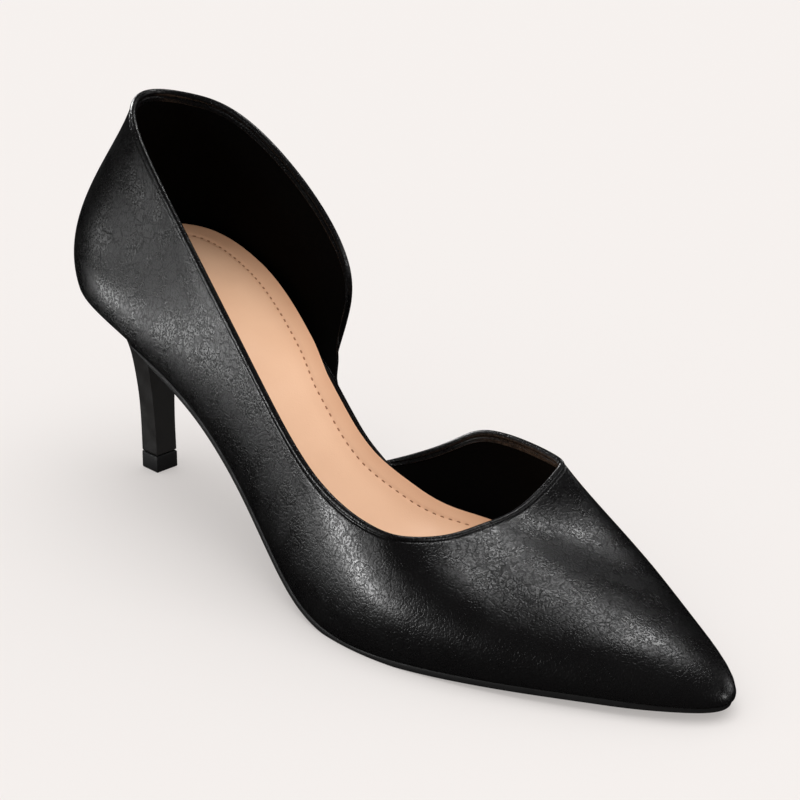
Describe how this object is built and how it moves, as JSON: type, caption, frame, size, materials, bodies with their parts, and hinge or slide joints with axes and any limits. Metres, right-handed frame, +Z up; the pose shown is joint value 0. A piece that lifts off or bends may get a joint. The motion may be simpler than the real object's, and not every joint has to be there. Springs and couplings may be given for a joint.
{
  "type": "dorsay pump",
  "caption": "Right-foot half d'Orsay pump: black leather, pointed toe, slim covered heel, open at the inside waist, with a nude leather sock.",
  "frame": {"origin": "middle of the shoe's outline on the floor it stands on", "axes": "+Z up, toe towards -Y, inside of the foot towards +X, outside towards -X"},
  "size_m": [0.0836, 0.2447, 0.1272],
  "materials": {
    "upper": "fine grain, semi-gloss",
    "insole_board": "board wrapped in smooth black leather",
    "sock": "smooth nude leather, soft sheen",
    "outsole": "black, matte",
    "heel": "covered in smooth black leather",
    "top_piece": "black, matte"
  },
  "bodies": {
    "root": {"upper": "upper", "insole_board": "insole_board", "sock": "sock", "outsole": "outsole", "heel": "heel", "top_piece": "top_piece"}
  },
  "joints": []
}
